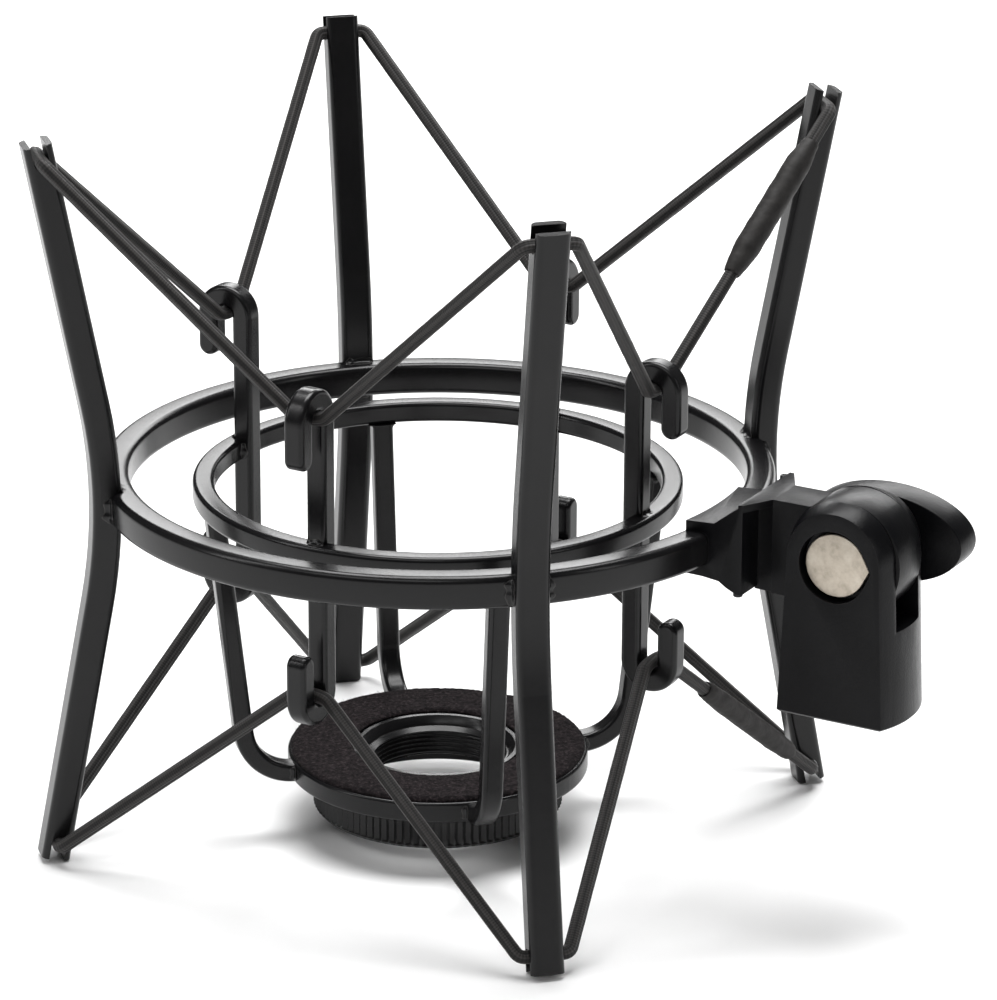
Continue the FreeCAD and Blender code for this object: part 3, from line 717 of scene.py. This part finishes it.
def make_thread_ring():
    """Finger ring: knurled skirt, recessed underside and the microphone thread."""
    ridges = 96
    per_ridge = 6
    columns = ridges * per_ridge
    z0 = THREAD_MID - THREAD_LEN / 2
    z1 = THREAD_MID + THREAD_LEN / 2
    neck_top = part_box("thread_ring")[1].z
    groove_z = PLATE_TOP - 0.0013
    groove_high = 0.00085
    groove_r = 0.0163
    ridge_depth = 0.00062
    profile = [
        (THREAD_R, z1), (0.0146, z1 + (neck_top - z1) * 0.30), (0.0149, z1 + (neck_top - z1) * 0.26),
        (0.0152, z1 + (neck_top - z1) * 0.52), (NECK_R - 0.0010, neck_top), (NECK_R - 0.0001, neck_top),
        (NECK_R, neck_top - 0.0001), (NECK_R, groove_z + groove_high), (groove_r, groove_z + groove_high),
        (groove_r, groove_z), (NECK_R, groove_z), (NECK_R, KNURL_TOP),
        (KNURL_R - 0.0014, KNURL_TOP), (KNURL_R - 0.0006, KNURL_TOP - 0.0002),
    ]
    skirt_start = len(profile)
    high = KNURL_TOP - KNURL_BOTTOM
    profile += [(KNURL_R, KNURL_TOP - share * high) for share in (0.10, 0.14, 0.40, 0.70, 0.86, 0.90)]
    skirt_end = len(profile)
    profile += [(KNURL_R - 0.0006, KNURL_BOTTOM + 0.0002), (KNURL_R - 0.0011, KNURL_BOTTOM),
                (KNURL_RECESS_R + 0.0003, KNURL_BOTTOM), (KNURL_RECESS_R, KNURL_BOTTOM + 0.0003),
                (KNURL_RECESS_R, z0 - 0.0003), (KNURL_RECESS_R - 0.0003, z0), (THREAD_R + 0.0004, z0),
                (THREAD_R, z0 + 0.0002)]
    verts, faces = lathe(profile, columns)
    rows = len(profile)
    for i in range(columns):
        turn = (i % per_ridge) / per_ridge
        dip = ridge_depth * (1 - abs(2 * turn - 1)) ** 0.8
        a = 2 * math.pi * i / columns
        for k in range(skirt_start, skirt_end):
            edge = 0.35 if k in (skirt_start, skirt_end - 1) else 1.0
            r = KNURL_R - dip * edge
            verts[i * rows + k] = (r * math.cos(a), r * math.sin(a), profile[k][1])
    obj = add_mesh("knurled_thread_ring", verts, faces, "black_coating")
    obj.data.set_sharp_from_angle(angle=math.radians(28))
    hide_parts("thread_ring")
    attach(obj, "mic_thread_ring")
    wall_verts, wall_faces = threaded(THREAD_R, 0.0005, THREAD_PITCH, z0 + 0.0002, z1, 144, 8)
    wall = add_mesh("microphone_thread", wall_verts, wall_faces, "black_coating")
    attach(wall, "mic_thread_ring")


def make_felt():
    """Felt washer with an uneven nap and short standing fibres."""
    rng = random.Random(11)
    columns, rings = 420, 44
    profile = [(FELT_HOLE_R, PLATE_TOP)]
    for k in range(rings + 1):
        profile.append((FELT_HOLE_R + (FELT_R - FELT_HOLE_R) * k / rings, FELT_TOP))
    profile.append((FELT_R, PLATE_TOP))
    verts, faces = lathe(profile, columns, close=True)
    shaped = []
    for x, y, z in verts:
        radius = math.hypot(x, y)
        if z > PLATE_TOP + 0.0001:
            rim = min(radius - FELT_HOLE_R, FELT_R - radius)
            drop = 0.00045 * math.exp(-(rim / 0.0005) ** 2)
            nap = 0.00012 * noise.noise(Vector((x, y, 0)) * 800)
            nap += 0.00012 * noise.noise(Vector((x, y, 3)) * 1900)
            z = z - 0.00022 - drop + nap
        ragged = 1 + 0.0016 * noise.noise(Vector((x, y, z)) * 600)
        shaped.append((x * ragged, y * ragged, z))
    obj = add_mesh("felt_washer", shaped, faces, "felt")
    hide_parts("felt_pad")
    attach(obj, "cage")

    hair_verts, hair_faces = [], []
    for _ in range(HAIR_COUNT):
        a = rng.uniform(0, 2 * math.pi)
        share = rng.random()
        radius = math.sqrt(FELT_HOLE_R ** 2 + share * (FELT_R ** 2 - FELT_HOLE_R ** 2))
        radius = min(FELT_R - 0.0002, max(FELT_HOLE_R + 0.0002, radius))
        root = Vector((radius * math.cos(a), radius * math.sin(a), FELT_TOP - 0.0005))
        lean = Vector((rng.uniform(-1, 1), rng.uniform(-1, 1), rng.uniform(0.25, 0.9))).normalized()
        length = rng.uniform(0.0003, 0.0008)
        side = lean.orthogonal().normalized() * 0.00002
        bend = Vector((rng.uniform(-1, 1), rng.uniform(-1, 1), 0)) * 0.0002
        base = len(hair_verts)
        middle = root + lean * length * 0.5 + bend * 0.3
        tip = root + lean * length + bend
        tip.z = min(tip.z, FELT_TOP + 0.0003)
        hair_verts += [root - side, root + side, middle - side * 0.8, middle + side * 0.8, tip]
        hair_faces += [(base, base + 1, base + 3, base + 2), (base + 2, base + 3, base + 4)]
    hairs = add_mesh("felt_fibres", hair_verts, hair_faces, "felt")
    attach(hairs, "cage")


def make_stand_insert():
    """Brass insert with the stand thread cut in it."""
    lo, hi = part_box("stand_thread_insert")
    outer = (hi.x - lo.x) / 2 - 0.00002
    profile = [(STAND_R + 0.0004, lo.z), (outer - 0.0003, lo.z), (outer, lo.z + 0.0003), (outer, hi.z),
               (STAND_R, hi.z)]
    verts, faces = lathe(profile, 96)
    verts = [(x + PIVOT.x, y, z) for x, y, z in verts]
    body = add_mesh("brass_insert", verts, faces, "brass")
    body.data.set_sharp_from_angle(angle=math.radians(35))
    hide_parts("stand_thread_insert")
    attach(body, "swivel")
    pitch = 0.0254 / 27
    wall_verts, wall_faces = threaded(STAND_R, 0.00042, pitch, lo.z, hi.z, 96, 8, (PIVOT.x, 0))
    wall = add_mesh("stand_thread", wall_verts, wall_faces, "brass")
    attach(wall, "swivel")


def make_bar_ring(node, name, body, thick, corner_r):
    """Ring of rounded bar, turned smooth; the posts stand through it."""
    lo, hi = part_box(node)
    r_in, r_out = hi.x - thick, hi.x
    corners = ((r_out - corner_r, hi.z - corner_r, 90), (r_in + corner_r, hi.z - corner_r, 180),
               (r_in + corner_r, lo.z + corner_r, 270), (r_out - corner_r, lo.z + corner_r, 360))
    steps = 10
    profile = []
    for r, z, end in corners:
        for k in range(steps + 1):
            a = math.radians(end - 90 + 90 * k / steps)
            profile.append((r + corner_r * math.cos(a), z + corner_r * math.sin(a)))
    verts, faces = lathe(profile, 360, close=True)
    ring = add_mesh(name, verts, [tuple(reversed(f)) for f in faces], node_slot[node])
    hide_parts(node)
    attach(ring, body)


make_bar_ring("outer_ring", "smooth_outer_ring", "outer_frame", OUTER_BAR, OUTER_BAR_ROUND)
make_bar_ring("inner_ring", "smooth_inner_ring", "cage", INNER_BAR, INNER_BAR_ROUND)
make_thread_ring()
make_felt()
make_stand_insert()


# ======================================================== rounded moulded parts
def softened(node, name, body, width):
    """The CAD node's own shape with its sharp edges rounded, as a moulding or casting has them."""
    source = NODES[node]
    obj = bpy.data.objects.new(name, source.data.copy())
    bpy.context.scene.collection.objects.link(obj)
    bm = bmesh.new()
    bm.from_mesh(obj.data)
    bmesh.ops.remove_doubles(bm, verts=bm.verts, dist=0.000002)
    bmesh.ops.dissolve_limit(bm, angle_limit=math.radians(1.0), verts=bm.verts, edges=bm.edges)
    bm.to_mesh(obj.data)
    bm.free()
    modifier = obj.modifiers.new("round", "BEVEL")
    modifier.width = width
    modifier.segments = 3
    modifier.limit_method = "ANGLE"
    modifier.angle_limit = math.radians(28)
    modifier.miter_outer = "MITER_ARC"
    graph = bpy.context.evaluated_depsgraph_get()
    mesh = bpy.data.meshes.new_from_object(obj.evaluated_get(graph))
    obj.modifiers.clear()
    obj.data = mesh
    mesh.polygons.foreach_set("use_smooth", [True] * len(mesh.polygons))
    mesh.set_sharp_from_angle(angle=math.radians(38))
    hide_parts(node)
    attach(obj, body)


softened("swivel_body", "rounded_swivel_body", "swivel", 0.0005)
softened("swivel_bracket", "rounded_swivel_bracket", "outer_frame", 0.0006)
softened("thumb_knob", "rounded_thumb_knob", "knob", 0.0006)
softened("pivot_bolt", "rounded_pivot_bolt", "swivel", 0.00025)
softened("bracket_pins", "rounded_bracket_pins", "outer_frame", 0.0003)


# ==================================================== floor, light and camera
def make_stage():
    """Plain pale floor and large soft lights."""
    floor_mat, tree, shader = new_material("floor", (0.90, 0.90, 0.90), 0.6, specular=0.2)
    link(tree, spread(tree, noise_node(tree, position(tree), 6, 2), 0.55, 0.65), shader.inputs["Roughness"])
    bpy.ops.mesh.primitive_plane_add(size=14, location=(0, 0, cad_lo.z - 0.0002))
    floor = bpy.context.object
    floor.name = "floor"
    floor.data.materials.append(floor_mat)

    world = bpy.data.worlds.new("studio")
    bpy.context.scene.world = world
    world.use_nodes = True
    back = world.node_tree.nodes["Background"]
    back.inputs["Color"].default_value = (1, 1, 1, 1)
    back.inputs["Strength"].default_value = 0.10

    centre = (cad_lo + cad_hi) / 2

    def softbox(name, place, size, power):
        data = bpy.data.lights.new(name, "AREA")
        data.shape = "RECTANGLE"
        data.size, data.size_y = size
        data.energy = power
        light = bpy.data.objects.new(name, data)
        bpy.context.scene.collection.objects.link(light)
        light.location = Vector(place)
        light.rotation_mode = "QUATERNION"
        light.rotation_quaternion = (Vector(place) - centre).to_track_quat("Z", "Y")

    # place, size and watts: a broad top light, a narrow strip on either side for the long
    # highlights, a band behind for the rims, and a wash that keeps the floor white
    softbox("overhead", (-0.12, 0.30, 1.50), (1.15, 0.80), 34)
    softbox("strip_left", (-0.60, -0.62, 0.62), (0.10, 0.75), 2.2)
    softbox("strip_right", (1.05, -0.05, 0.45), (0.07, 0.6), 0.9)
    softbox("rim_back", (-0.35, 1.05, 0.62), (1.1, 0.35), 9)
    softbox("floor_wash", (0.2, -1.9, 2.2), (2.0, 0.8), 14)
    bpy.context.scene.view_settings.view_transform = "Standard"


def make_camera():
    """The photographer's camera, from its measured place and lens."""
    yaw = math.radians(29.40)
    pitch = math.radians(19.65)
    roll = math.radians(0.27)
    flat = Vector((-math.sin(yaw), math.cos(yaw), 0))
    ahead = flat * math.cos(pitch) - Vector((0, 0, math.sin(pitch)))
    right = ahead.cross(Vector((0, 0, 1))).normalized()
    up = right.cross(ahead)
    tilted_right = right * math.cos(roll) + up * math.sin(roll)
    tilted_up = up * math.cos(roll) - right * math.sin(roll)
    data = bpy.data.cameras.new("camera")
    data.sensor_width = 36
    data.lens = 188.93
    data.clip_start = 0.01
    data.clip_end = 50
    camera = bpy.data.objects.new("camera", data)
    bpy.context.scene.collection.objects.link(camera)
    matrix = Matrix((tilted_right, tilted_up, -ahead)).transposed().to_4x4()
    matrix.translation = Vector((0.5160, -0.8901, 0.4213))
    camera.matrix_world = matrix
    bpy.context.scene.camera = camera


make_stage()
make_camera()
